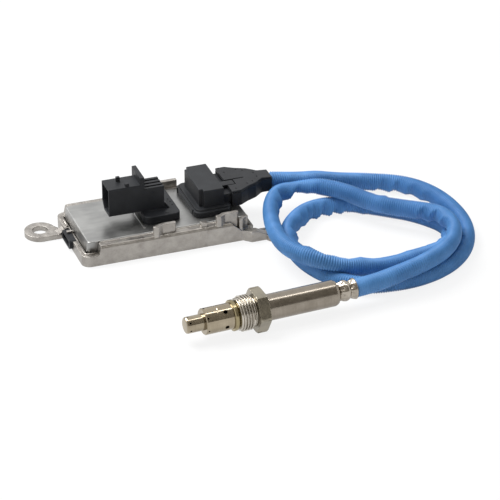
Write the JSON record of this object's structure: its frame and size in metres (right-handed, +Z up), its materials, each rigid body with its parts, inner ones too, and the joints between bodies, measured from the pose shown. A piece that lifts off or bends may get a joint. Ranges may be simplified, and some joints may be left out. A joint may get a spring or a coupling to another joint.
{
  "type": "nitrogen oxide sensor",
  "caption": "Exhaust gas sensor: a finned-socket control unit in a low cast case with two ears, a plug, a coiled blue sleeved cable and a stainless probe with a captive threaded nut.",
  "frame": {"origin": "centre of the control unit case's flat underside", "axes": "+X along the case towards the plug, +Z up from the underside, the probe lies in front towards -Y"},
  "size_m": [0.2446, 0.162, 0.0398],
  "materials": {
    "cast_aluminium": "as cast, satin",
    "pressed_aluminium": "satin",
    "sealant": "matte",
    "board_laminate": "satin solder mask",
    "zinc_steel": "zinc plated",
    "chip_black": "matte",
    "capacitor_can": "bright",
    "thermal_gel": "matte",
    "black_plastic": "moulded, fine grain",
    "plug_plastic": "moulded, fine grain",
    "tin_pins": "tin plated",
    "black_rubber": "matte",
    "vent_film": "matte film",
    "wire_jacket": "satin",
    "stainless": "turned and drawn, satin",
    "golden_steel": "heat-tinted, satin",
    "nickel_steel": "turned, satin",
    "white_ceramic": "fired, matte",
    "talc": "pressed powder",
    "spring_steel": "satin",
    "blue_sleeve": "ribbed, satin"
  },
  "bodies": {
    "sensor_unit": {"housing_body": "cast_aluminium", "housing_lid": "pressed_aluminium", "lid_seal": "sealant", "circuit_board": "board_laminate", "board_screws": "zinc_steel", "controller_chip": "chip_black", "power_chips": "chip_black", "capacitors": "capacitor_can", "thermal_pad": "thermal_gel", "vehicle_header": "black_plastic", "vehicle_header_pins": "tin_pins", "vehicle_header_seal": "black_rubber", "sensor_header": "black_plastic", "sensor_header_pins": "tin_pins", "sensor_header_seal": "black_rubber", "plug_housing": "plug_plastic", "plug_cover": "plug_plastic", "plug_latch": "plug_plastic", "plug_seal": "black_rubber", "plug_terminals": "tin_pins", "plug_leads": "wire_jacket", "cable_grommet": "black_rubber", "vent_housing": "black_plastic", "vent_membrane": "vent_film", "inner_shield": "stainless", "outer_shield": "stainless", "probe_shell": "golden_steel", "retaining_collar": "stainless", "probe_sleeve": "stainless", "crimp_ferrule": "stainless", "rear_grommet": "black_rubber", "sensing_element": "white_ceramic", "front_ceramic": "white_ceramic", "talc_packing": "talc", "rear_ceramic": "white_ceramic", "contact_holder": "white_ceramic", "bedding_sleeve": "spring_steel", "probe_leads": "wire_jacket", "cable_sleeve": "blue_sleeve"},
    "nut": {"thread_nut": "nickel_steel"}
  },
  "joints": [
    {"name": "nut_spin", "type": "hinge", "parent": "sensor_unit", "child": "nut", "pos_m": [0.01413, -0.12148, 0.011], "axis": [0.9981, 0.061, 0], "continuous": true}
  ]
}
